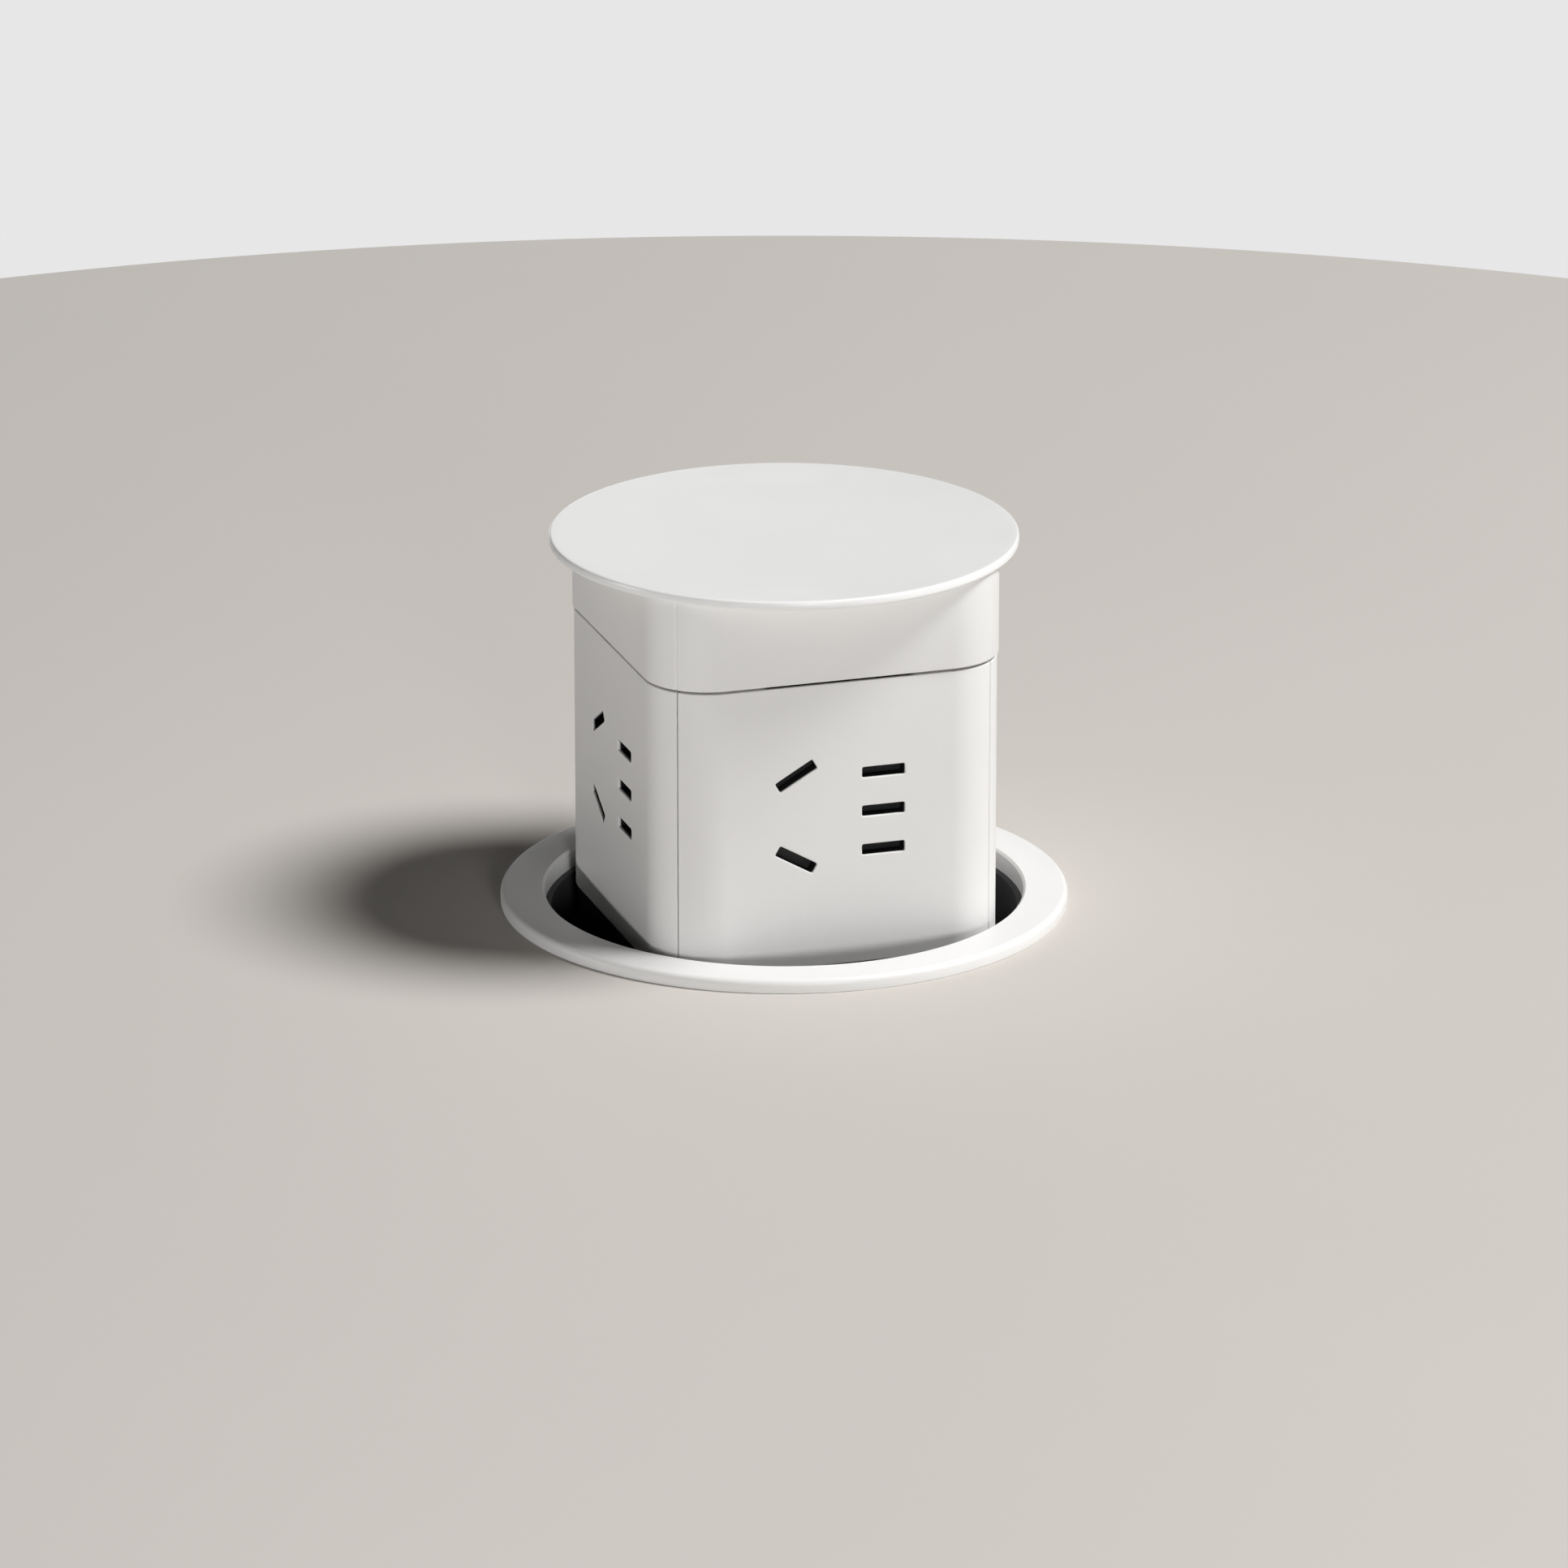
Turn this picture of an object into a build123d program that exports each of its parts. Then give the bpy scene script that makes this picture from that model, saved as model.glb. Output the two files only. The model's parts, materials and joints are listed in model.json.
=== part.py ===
"""Pop-up desk socket tower.

A round flange and barrel sit in a desk cut-out. A rounded-square tower with a five-hole socket on each face
slides up through the flange, pushed by a lift spring and slowed by a rotary damper, and a push latch holds
it down. Millimetres, +Z up. The origin is the centre of the flange on the desk, and the front face is -Y.
Everything is modelled with the tower raised, and the clamp nut set for a 25 mm desk.
"""
from build123d import *
from math import atan, cos, hypot, pi, radians, sin, sqrt, tan
import os

# Desk cut-out, flange and barrel
desk_hole_diameter = 80.0
desk_thickness = 25.0
hole_clearance = 0.5          # radial, between the barrel's plain seat and the cut-out
barrel_wall = 2.5
seat_length = 15.0            # plain length under the flange
thread_relief = 0.5           # the threaded length is this much smaller in radius than the seat
flange_overlap = 5.0          # how far the flange covers the desk round the hole
flange_height = 2.2
flange_edge_radius = 0.9
recess_chamfer = 0.4
ledge_width = 1.0             # step between the white recess wall and the barrel's bore
spigot_depth = 1.0
gasket_width = 2.4
gasket_depth = 0.6

# Tower shell
tower_top = 61.0
lid_thickness = 1.5
lid_edge_radius = 0.4
lid_gap = 1.1                 # radial, between the lid and the recess
tower_clearance = 0.8         # radial, between the shell's corners and the bore
body_corner = 10.0
shell_wall = 2.2
neck_proud = 0.25
seam_height = 45.0
seam_width = 0.7
joint_gap = 0.4               # between neighbouring panels at the corners
joint_chamfer = 0.3
shell_drop = 1.5              # the white shell ends this far below the desk surface
top_plate = 2.0
lid_screw_offset = 12.0
lid_boss = 3.0
lid_screw_skin = 0.8          # left between the screws' tips and the lid's top
skirt_depth = 2.5
skirt_wall = 2.0
skirt_root = 2.0              # height of the skirt's solid root in the neck
boss_radius = 4.0
bolt_grip = 6.5
bolt_inset = 9.2              # tie bolts to the shell's flat sides

# Travel and carriage
travel = 60.0
carriage_height = 25.0
carriage_inset = 0.3
carriage_ledge = 0.5          # how far the carriage reaches inside the panels
carriage_floor = 3.0
spring_room = 14.0            # height kept free for the closed lift spring
slide_gap = 0.3               # between moving parts that aren't a fit
shoe_lift = 2.0
shoe_thickness = 3.0

# Guide rails, stops and end cap
rail_half_width = 3.0
rail_gap = 0.55               # radial, between the neck and what stands in the bore
stop_top = -8.0
stop_height = 4.0
stop_shoulder = 1.0
cap_thickness = 4.0
cap_lip = 4.0
cap_lip_wall = 1.6
cap_gap = 0.2
cap_hole = 11.5
cap_seat = 3.0
cap_screw_reach = 9.0
cap_screw_hole = 9.5
rail_screw_hole = 12.0
pad_radius = 3.2
pad_inset = 1.0

# Socket holes
socket_centre = 23.35
column_offset = 7.135
blade_pitch = 6.35
slant_pitch = 6.86
slant_angle = 30.0
slot_length = 7.0
slot_height = 1.75
slot_chamfer = 0.25

# Shutters
shutter_thickness = 1.2
shutter_half_width = 12.5
shutter_half_height = 11.0
shutter_travel = 2.6
tray_thickness = 1.2
tray_rail = 2.0
shutter_spring_length = 6.5
shutter_spring_radius = 1.1
shutter_spring_wire = 0.4
shutter_spring_turns = 6
shutter_foot = (2.5, 2.0)     # half width, height
shutter_hole_room = 0.2
tray_hole_room = 0.6
tray_margin = 1.0
tray_sill = 2.0

# Contacts and wiring
contact_depth = 11.2
contact_width = 5.5
contact_leaf = 0.6
blade_thickness = 1.5
busbar_height = 3.2
busbar_thickness = 0.8
busbar_level = 6.6            # between the earth busbar and the other two
busbar_corner = 1.0
contact_gap = 0.7             # between the trays and the clips
core_gap = 0.1
tab_thickness = 1.0
tab_overlap = 0.6
wire_radius = 1.2
wire_room = 0.3
wire_step = 1.8               # wires outside the busbars
partition = 1.2
partition_corner = 4.0
carrier_gap = 0.2
carrier_wall = 3.0
carrier_head_gap = 0.4
terminal_height = 9.0
terminal_hole = 9.5
terminal_edge = 3.2
terminal_corner = 3.0
terminal_screw_reach = 5.5
terminal_screw_hole = 6.0
tabs = {"live": 0, "neutral": 1, "earth": 2}      # the corner that each busbar's wire leaves from

# Fasteners
tie_bolt_radius = 1.75
tie_bolt_head = (3.2, 2.4)    # radius, height
small_screw_radius = 1.2
small_screw_head = (2.3, 1.5)
screw_fit = 0.1               # radial, screws in their holes
running_fit = 0.05            # radial, turning shafts in their holes

# Cable entry
cable_bore = 4.1
gland_thread_radius = 8.0
gland_hex = 19.0
gland_stub = 4.0
gland_hex_height = 5.0
gland_dome = 7.0
gland_nut_height = 3.5
dome_radius = 8.4
dome_edge = 1.5

# Lift spring
spring_mean_radius = 13.5
spring_wire_radius = 0.8
spring_turns = 8

# Damper
gear_module = 0.8
gear_teeth = 14
gear_addendum = 0.7
rack_addendum = 0.5
tooth_room = 0.25             # between tooth tips and roots
gear_backlash = 0.2
pressure_angle = 20.0
gear_width = 3.4
gear_room = 0.8               # between the carriage and the gear
flank_steps = 5
damper_radius = 7.0
damper_depth = 5.2
damper_drop = 13.0            # gear centre below the carriage's top
damper_shaft = 1.5
damper_shaft_grip = 3.6
damper_shaft_hole = 4.0
damper_shaft_room = 0.7
damper_hub = (2.2, 0.5)       # radius, height
damper_ear = (10.5, 2.6, 1.6)  # offset, radius, thickness
damper_arm = 2.0
damper_screw_skin = 0.5
damper_hole_skin = 0.4
rack_back = 4.0

# Latch
latch_offset = 24.0           # from the axis, on the front side
latch_open_angle = 22.0
latch_pin_radius = 1.0
latch_half_width = 12.5
latch_half_depth = 6.0
latch_plate = 2.0
latch_floor = 2.5
latch_end = 3.2
latch_head_room = 1.0         # under the carriage at the end of its travel
jaw_pivot_offset = 5.5
jaw_pivot_lift = 5.5
jaw_hub = 2.4
jaw_half_depth = 3.4
jaw_top = 6.0
jaw_arm = (3.2, 5.0)          # near and far from the middle
jaw_hook = (1.3, 2.6, 4.4)    # reach from the middle, then low and high above the pivot
striker_length = 8.0
striker_stem = 0.9
striker_head = (2.1, 2.0)
striker_half_depth = 3.0
striker_base = (5.0, 1.6)
striker_play = 0.3            # between its base and the latch housing's walls

# Clamp
washer_thickness = 2.2
nut_height = 12.0
nut_overlap = 6.5             # how far the nut and washer reach past the cut-out
nut_rib = 2.5
nut_rib_half = 3.0
nut_rib_root = 1.0
nut_rib_drop = 1.0
nut_ribs = 12

# Sizes that follow
desk_hole_radius = desk_hole_diameter / 2
nut_radius = desk_hole_radius + nut_overlap
seat_radius = desk_hole_radius - hole_clearance
thread_radius = seat_radius - thread_relief
bore_radius = seat_radius - barrel_wall
recess_radius = bore_radius + ledge_width
flange_radius = desk_hole_radius + flange_overlap
lid_radius = recess_radius - lid_gap
body_reach = bore_radius - tower_clearance
body_half = (body_reach - body_corner) / sqrt(2) + body_corner
inner_half = body_half - shell_wall
inner_corner = body_corner - shell_wall
neck_half = body_half + neck_proud
neck_corner = body_corner + neck_proud
lid_bottom = tower_top - lid_thickness
panel_top = seam_height - seam_width / 2
neck_bottom = seam_height + seam_width / 2
carriage_half = body_half - carriage_inset
carriage_inner = inner_half - carriage_ledge
carriage_top = -shell_drop
carriage_bottom = carriage_top - carriage_height
floor_top = carriage_bottom + carriage_floor
barrel_bottom = carriage_bottom - travel - spring_room
bolt_offset = body_half - bolt_inset
bolt_top = neck_bottom + bolt_grip
rail_face = neck_half + rail_gap
stop_bottom = stop_top - stop_height
shoe_bottom = carriage_bottom + shoe_lift
pad_offset = rail_face - pad_radius - pad_inset
pitch_radius = gear_module * gear_teeth / 2
tooth_pitch = pi * gear_module
gear_height = carriage_top - damper_drop
gear_near = carriage_half + gear_room
damper_shaft_length = gear_near - carriage_inner + damper_shaft_grip
latch_screw_offset = latch_half_width - latch_end / 2
latch_height = spring_room - latch_head_room
jaw_pivot = (jaw_pivot_offset, barrel_bottom + jaw_pivot_lift)
shutter_near = inner_half - slide_gap
shutter_far = shutter_near - shutter_thickness
tray_near = shutter_far - slide_gap
tray_far = tray_near - tray_thickness
shutter_bottom = socket_centre - shutter_half_height
spring_bottom = shutter_bottom - shutter_foot[1] - shutter_spring_length
tray_top = socket_centre + shutter_half_height + shutter_travel + tray_margin
tray_bottom = spring_bottom - tray_sill
clip_mouth = tray_far - contact_gap
busbar_half = clip_mouth - contact_depth
core_half = busbar_half - busbar_thickness - core_gap
wire_offset = busbar_half + wire_step
plate_half = inner_half - carrier_gap
plate_corner = inner_corner - carrier_gap
plate_top = panel_top - skirt_depth - carrier_head_gap
terminal_half = wire_offset + terminal_edge
gland_top = floor_top + gland_stub
levels = {
    "live": socket_centre + busbar_level,
    "earth": socket_centre,
    "neutral": socket_centre - busbar_level,
}
faces = ["front", "right", "back", "left"]


def block(x, y, z):
    """A box from three (low, high) pairs."""
    centre = [(low + high) / 2 for low, high in (x, y, z)]
    size = [high - low for low, high in (x, y, z)]
    return Pos(*centre) * Box(*size)


def post(radius, low, high, x=0.0, y=0.0):
    """An upright cylinder."""
    return Pos(x, y, low) * extrude(Circle(radius), high - low)


def tube(outer, inner, low, high):
    return Pos(0, 0, low) * extrude(Circle(outer) - Circle(inner), high - low)


def rounded_block(half, corner, low, high):
    return Pos(0, 0, low) * extrude(RectangleRounded(2 * half, 2 * half, corner), high - low)


def turned(profile):
    """A solid of revolution from (radius, height) corners."""
    return revolve(make_face(Plane.XZ * Polyline(*profile, close=True)), Axis.Z)


def on_face(shape, index):
    """Carries a shape from the front face to another face of the tower."""
    return Rot(0, 0, 90 * index) * shape


def four_corners(offset):
    return [(x, y) for x in (-offset, offset) for y in (-offset, offset)]


def coil(mean_radius, wire, turns, low, high, x=0.0, y=0.0):
    """A compression spring standing between two heights."""
    height = high - low - 2 * wire
    path = Helix(pitch=height / turns, height=height, radius=mean_radius)
    section = Plane(origin=path @ 0, z_dir=path % 0) * Circle(wire)
    return Pos(x, y, low + wire) * sweep(section, path=path, is_frenet=True)


def socket_holes():
    """(across, up, tilt) of the five holes of one socket, seen from outside."""
    column = [(column_offset, socket_centre + k * blade_pitch, 0.0) for k in (1, 0, -1)]
    slanted = [(-column_offset, socket_centre + k * slant_pitch, k * slant_angle) for k in (1, -1)]
    return column + slanted


def hole_tools(length, height, near, far, lift=0.0):
    """Cutters for the five holes, between two distances in front of the axis."""
    tools = []
    for across, up, tilt in socket_holes():
        bar = Box(length, far - near, height)
        tools.append(Pos(across, -(near + far) / 2, up + lift) * Rot(0, -tilt, 0) * bar)
    return tools


# Fixed parts: flange, barrel and what is fastened to them


def flange_ring():
    profile = [
        (recess_radius, -spigot_depth),
        (seat_radius, -spigot_depth),
        (seat_radius, 0),
        (flange_radius, 0),
        (flange_radius, flange_height),
        (recess_radius, flange_height),
    ]
    ring = turned(profile)
    rims = ring.edges().filter_by(GeomType.CIRCLE).group_by(Axis.Z)[-1].sort_by(SortBy.RADIUS)
    ring = fillet(rims[-1], flange_edge_radius)
    rims = ring.edges().filter_by(GeomType.CIRCLE).group_by(Axis.Z)[-1].sort_by(SortBy.RADIUS)
    ring = chamfer(rims[0], recess_chamfer)
    return ring - gasket_band(gasket_depth)


def gasket_band(depth):
    middle = (desk_hole_radius + flange_radius) / 2
    return tube(middle + gasket_width / 2, middle - gasket_width / 2, 0, depth)


def barrel():
    seat = tube(seat_radius, bore_radius, -seat_length - spigot_depth, -spigot_depth)
    threaded = tube(thread_radius, bore_radius, barrel_bottom, -seat_length - spigot_depth)
    return seat + threaded


def in_bore(shape):
    """Trims a part to the barrel's bore, which it is fixed to."""
    return shape & post(bore_radius, barrel_bottom, 0)


def guide_rails():
    width = (-rail_half_width, rail_half_width)
    rail = in_bore(block((rail_face, bore_radius), width, (barrel_bottom + cap_lip, stop_bottom)))
    rail -= post(small_screw_radius, barrel_bottom, barrel_bottom + rail_screw_hole, rail_screw_offset())
    return Compound([rail, mirror(rail, Plane.YZ)])


def rail_screw_offset():
    return (rail_face + bore_radius) / 2


def stop_blocks():
    wide = rail_half_width + slide_gap + shoe_thickness + stop_shoulder
    stop = in_bore(block((rail_face, bore_radius), (-wide, wide), (stop_bottom, stop_top)))
    return Compound([stop, mirror(stop, Plane.YZ)])


def cap_screw_places():
    rails = [(side * rail_screw_offset(), 0.0) for side in (-1, 1)]
    latch = [(side * latch_screw_offset, -latch_offset) for side in (-1, 1)]
    return rails + latch


def end_cap():
    lip_radius = bore_radius - cap_gap
    seat_outer = spring_mean_radius - spring_wire_radius - slide_gap
    cap = post(thread_radius - cap_gap, barrel_bottom - cap_thickness, barrel_bottom)
    lip = tube(lip_radius, lip_radius - cap_lip_wall, barrel_bottom, barrel_bottom + cap_lip - cap_gap)
    seat = tube(seat_outer, cap_hole, barrel_bottom, barrel_bottom + cap_seat)
    cap = cap + lip + seat
    cap -= post(cap_hole, barrel_bottom - cap_thickness, barrel_bottom)
    for x, y in cap_screw_places():
        cap -= post(small_screw_radius + screw_fit, barrel_bottom - cap_thickness, barrel_bottom, x, y)
        cap -= post(small_screw_head[0] + screw_fit, barrel_bottom - cap_thickness,
                    barrel_bottom - cap_thickness + small_screw_head[1], x, y)
    return cap


def end_cap_screws():
    screws = []
    low = barrel_bottom - cap_thickness
    for x, y in cap_screw_places():
        head = post(small_screw_head[0], low, low + small_screw_head[1], x, y)
        screws.append(head + post(small_screw_radius - screw_fit, low, barrel_bottom + cap_screw_reach, x, y))
    return Compound(screws)


def down_stop_pads():
    """Rubber pillars that the carriage meets at the end of its travel."""
    top = carriage_bottom - travel - slide_gap
    return Compound([post(pad_radius, barrel_bottom, top, side * pad_offset) for side in (-1, 1)])


def lift_spring():
    return coil(spring_mean_radius, spring_wire_radius, spring_turns, barrel_bottom, carriage_bottom)


# Damper: a rack on the barrel's back wall and a gear that the carriage carries


def damper_rack():
    """A straight rack with trapezoidal teeth, its tooth gaps in line with the gear's centre."""
    tip = pitch_radius - rack_addendum
    root = pitch_radius + gear_addendum + tooth_room
    slope = tan(radians(pressure_angle))
    half_at_pitch = tooth_pitch / 4 - gear_backlash / 4
    half_tip = half_at_pitch - rack_addendum * slope
    half_root = half_at_pitch + (root - pitch_radius) * slope
    low = barrel_bottom + cap_lip
    high = stop_top
    outline = [(root + rack_back, low), (root, low)]
    centre = gear_height + tooth_pitch / 2
    while centre - tooth_pitch > low + tooth_pitch:
        centre -= tooth_pitch
    while centre < high - tooth_pitch:
        outline.append((root, centre - half_root))
        outline.append((tip, centre - half_tip))
        outline.append((tip, centre + half_tip))
        outline.append((root, centre + half_root))
        centre += tooth_pitch
    outline += [(root, high), (root + rack_back, high)]
    face = make_face(Plane.XZ * Polyline(*outline, close=True))
    bar = Pos(0, bore_radius, 0) * extrude(face, bore_radius - rail_face, dir=(0, -1, 0))
    return in_bore(bar)


def gear_outline():
    """Involute teeth, the first centred on +X."""
    base = pitch_radius * cos(radians(pressure_angle))
    root = pitch_radius - rack_addendum - tooth_room
    tip = pitch_radius + gear_addendum
    involute = tan(radians(pressure_angle)) - radians(pressure_angle)
    half_at_pitch = (tooth_pitch / 2 - gear_backlash / 2) / (2 * pitch_radius)
    flank = []
    for k in range(flank_steps + 1):
        radius = max(base, root) + (tip - max(base, root)) * k / flank_steps
        spread = sqrt(max((radius / base) ** 2 - 1, 0))
        flank.append((radius, half_at_pitch + involute - (spread - atan(spread))))
    points = []
    for tooth in range(gear_teeth):
        middle = 2 * pi * tooth / gear_teeth
        points.append((root, middle - flank[0][1]))
        points += [(radius, middle - half) for radius, half in flank]
        points += [(radius, middle + half) for radius, half in reversed(flank)]
        points.append((root, middle + flank[0][1]))
    return [(radius * cos(angle), radius * sin(angle)) for radius, angle in points]


def damper_gear():
    teeth = make_face(Polyline(*gear_outline(), close=True))
    gear = extrude(teeth, gear_width)
    hub = Pos(0, 0, -damper_hub[1]) * extrude(Circle(damper_hub[0]), damper_hub[1])
    shaft = Pos(0, 0, -damper_shaft_length) * extrude(Circle(damper_shaft), damper_shaft_length)
    return Pos(0, gear_near, gear_height) * Rot(-90, 0, 0) * (gear + hub + shaft)


def along_y(radius, near, far, x, z):
    """A cylinder lying front to back."""
    return Pos(x, near, z) * Rot(-90, 0, 0) * extrude(Circle(radius), far - near)


def damper_body():
    near = carriage_inner - damper_depth
    offset, radius, thickness = damper_ear
    face = (carriage_inner - thickness, carriage_inner)
    body = along_y(damper_radius, near, carriage_inner, 0, gear_height)
    body += block((-offset, offset), face, (gear_height - damper_arm, gear_height + damper_arm))
    for side in (-1, 1):
        body += along_y(radius, *face, side * offset, gear_height)
    for side in (-1, 1):
        body -= along_y(small_screw_radius + screw_fit, near, carriage_inner, side * offset, gear_height)
    shaft_end = carriage_inner - damper_shaft_hole
    return body - along_y(damper_shaft + running_fit, shaft_end, carriage_inner, 0, gear_height)


def damper_screws():
    screws = []
    offset, radius, thickness = damper_ear
    near = carriage_inner - thickness
    for side in (-1, 1):
        head = along_y(small_screw_head[0], near - small_screw_head[1], near, side * offset, gear_height)
        tip = carriage_half - damper_screw_skin
        shank = along_y(small_screw_radius, near, tip, side * offset, gear_height)
        screws.append(head + shank)
    return Compound(screws)


# Latch: two jaws that close on the striker under the carriage


def latch_housing():
    wide = (-latch_half_width, latch_half_width)
    top = barrel_bottom + latch_height
    ends = (-latch_offset - latch_half_depth, -latch_offset + latch_half_depth)
    shell = block(wide, ends, (barrel_bottom, top))
    inside = latch_half_depth - latch_plate
    between = (-latch_half_width + latch_end, latch_half_width - latch_end)
    well = (-latch_offset - inside, -latch_offset + inside)
    shell -= block(between, well, (barrel_bottom + latch_floor, top))
    for side in (-1, 1):
        shell -= along_y(latch_pin_radius, *ends, side * jaw_pivot[0], jaw_pivot[1])
        shell -= post(small_screw_radius, barrel_bottom, barrel_bottom + cap_screw_hole,
                      side * latch_screw_offset, -latch_offset)
    return shell


def latch_pins():
    ends = (-latch_offset - latch_half_depth, -latch_offset + latch_half_depth)
    return Compound([along_y(latch_pin_radius, *ends, side * jaw_pivot[0], jaw_pivot[1]) for side in (-1, 1)])


def latch_jaw(side):
    """One jaw, drawn closed on the +X side, then swung open and put on its own side."""
    x, z = jaw_pivot
    near, far = -latch_offset - jaw_half_depth, -latch_offset + jaw_half_depth
    jaw = along_y(jaw_hub, near, far, x, z)
    jaw += block(jaw_arm, (near, far), (z, z + jaw_top))
    jaw += block((jaw_hook[0], jaw_arm[1]), (near, far), (z + jaw_hook[1], z + jaw_hook[2]))
    jaw -= along_y(latch_pin_radius + running_fit, near, far, x, z)
    jaw = Pos(x, 0, z) * Rot(0, latch_open_angle, 0) * Pos(-x, 0, -z) * jaw
    return jaw if side > 0 else mirror(jaw, Plane.YZ)


def striker():
    near, far = -latch_offset - striker_half_depth, -latch_offset + striker_half_depth
    tip = carriage_bottom - striker_length
    wide, thick = striker_base
    reach = latch_half_depth - latch_plate - striker_play
    base = block((-wide, wide), (-latch_offset - reach, -latch_offset + reach),
                 (carriage_bottom - thick, carriage_bottom))
    stem = block((-striker_stem, striker_stem), (near, far), (tip, carriage_bottom))
    head = block((-striker_head[0], striker_head[0]), (near, far), (tip, tip + striker_head[1]))
    return base + stem + head


# Clamp under the desk


def thrust_washer():
    inner = thread_radius + slide_gap + thread_relief
    return tube(nut_radius, inner, -desk_thickness - washer_thickness, -desk_thickness)


def clamp_nut():
    top = -desk_thickness - washer_thickness - slide_gap
    nut = tube(nut_radius, thread_radius + slide_gap, top - nut_height, top)
    for k in range(nut_ribs):
        rib = block((nut_radius - nut_rib_root, nut_radius + nut_rib), (-nut_rib_half, nut_rib_half),
                    (top - nut_height, top - nut_rib_drop))
        nut += Rot(0, 0, 360 * k / nut_ribs) * rib
    return nut


# Tower shell


def lid():
    plate = post(lid_radius, lid_bottom, tower_top)
    plate = fillet(plate.edges().filter_by(GeomType.CIRCLE), lid_edge_radius)
    hole_top = tower_top - lid_screw_skin + screw_fit
    for x, y in four_corners(lid_screw_offset):
        plate += post(lid_boss, lid_bottom - top_plate, lid_bottom, x, y)
        plate -= post(small_screw_radius, lid_bottom - top_plate, hole_top, x, y)
    return plate


def lid_screws():
    low = lid_bottom - top_plate
    screws = []
    for x, y in four_corners(lid_screw_offset):
        head = post(lid_boss + lid_screw_skin, low - small_screw_head[1], low, x, y)
        screws.append(head + post(small_screw_radius - screw_fit, low, tower_top - lid_screw_skin, x, y))
    return Compound(screws)


def corner_groove(shape, half, corner, low, high):
    """Cuts a fine upright V groove in the middle of each corner."""
    reach = (half - corner) * sqrt(2) + corner
    side = joint_gap + joint_chamfer
    for k in range(4):
        prism = Pos(reach + side * 0.25, 0, (low + high) / 2) * Rot(0, 0, 45) * Box(side, side, high - low)
        shape -= Rot(0, 0, 45 + 90 * k) * prism
    return shape


def neck_cap():
    skirt_half = inner_half - slide_gap
    neck = rounded_block(neck_half, neck_corner, neck_bottom, lid_bottom)
    neck -= rounded_block(inner_half, inner_corner, neck_bottom, lid_bottom - top_plate)
    skirt_corner = inner_corner - slide_gap
    skirt_bottom = panel_top - skirt_depth
    root_top = neck_bottom + skirt_root
    skirt = rounded_block(inner_half, inner_corner, neck_bottom, root_top)
    skirt += rounded_block(skirt_half, skirt_corner, skirt_bottom, root_top)
    skirt -= rounded_block(skirt_half - skirt_wall, skirt_corner - skirt_wall, skirt_bottom, root_top)
    neck += skirt
    for x, y in four_corners(bolt_offset):
        neck += post(boss_radius, neck_bottom + 1, lid_bottom - top_plate, x, y)
        neck -= post(tie_bolt_radius + screw_fit, skirt_bottom, bolt_top + 1, x, y)
    for x, y in four_corners(lid_screw_offset):
        neck -= post(lid_boss + screw_fit, lid_bottom - top_plate, lid_bottom, x, y)
    return corner_groove(neck, neck_half, neck_corner, neck_bottom, lid_bottom)


def panel_wedge(gap):
    """The quarter of the tower in front of the two corner planes."""
    back = gap / 2 * sqrt(2)
    far = 2 * body_half
    corners = [(0, -back), (far, -far - back), (-far, -far - back)]
    plan = make_face(Polyline(*corners, close=True))
    return Pos(0, 0, carriage_top) * extrude(plan, panel_top - carriage_top)


def socket_panel(index):
    shell = rounded_block(body_half, body_corner, carriage_top, panel_top)
    shell -= rounded_block(inner_half, inner_corner, carriage_top, panel_top)
    panel = shell & panel_wedge(joint_gap)
    joints = [edge for edge in panel.edges().filter_by(Axis.Z)
              if hypot(edge.center().X, edge.center().Y) > body_reach - 2 * joint_gap]
    panel = chamfer(joints, joint_chamfer)
    for tool in hole_tools(slot_length, slot_height, inner_half - 1, body_half + 1):
        panel -= tool
    front = panel.faces().filter_by(Axis.Y).sort_by(Axis.Y)[0]
    rims = [edge for wire in front.inner_wires() for edge in wire.edges()]
    return on_face(chamfer(rims, slot_chamfer), index)


# Shutters, behind each panel


def shutter(index):
    """A sliding plate whose own holes sit above the panel's until it is pushed down."""
    plate = block((-shutter_half_width, shutter_half_width), (-shutter_near, -shutter_far),
                  (shutter_bottom, socket_centre + shutter_half_height))
    for tool in hole_tools(slot_length + shutter_hole_room, slot_height + shutter_hole_room,
                           shutter_far - 1, shutter_near + 1, shutter_travel):
        plate -= tool
    foot = block((-shutter_foot[0], shutter_foot[0]), (-shutter_near, -tray_far),
                 (shutter_bottom - shutter_foot[1], shutter_bottom))
    return on_face(plate + foot, index)


def shutter_tray(index):
    outer = shutter_half_width + slide_gap + tray_rail
    plate = block((-outer, outer), (-tray_near, -tray_far), (tray_bottom, tray_top))
    window = shutter_foot[0] + slide_gap
    plate -= block((-window, window), (-tray_near, -tray_far), (spring_bottom, shutter_bottom))
    for tool in hole_tools(slot_length + tray_hole_room, slot_height + tray_hole_room,
                           tray_far - 1, tray_near + 1):
        plate -= tool
    for side in (-1, 1):
        edges = sorted((side * (outer - tray_rail), side * outer))
        plate += block(edges, (-inner_half, -tray_near), (tray_bottom, tray_top))
    plate += block((-outer, outer), (-inner_half, -tray_far), (tray_bottom, spring_bottom))
    return on_face(plate, index)


def shutter_spring(index):
    middle = (shutter_near + tray_far) / 2
    spring = coil(shutter_spring_radius, shutter_spring_wire / 2, shutter_spring_turns,
                  spring_bottom, shutter_bottom - shutter_foot[1], 0, -middle)
    return on_face(spring, index)


# Contacts and the carrier that holds them


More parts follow.
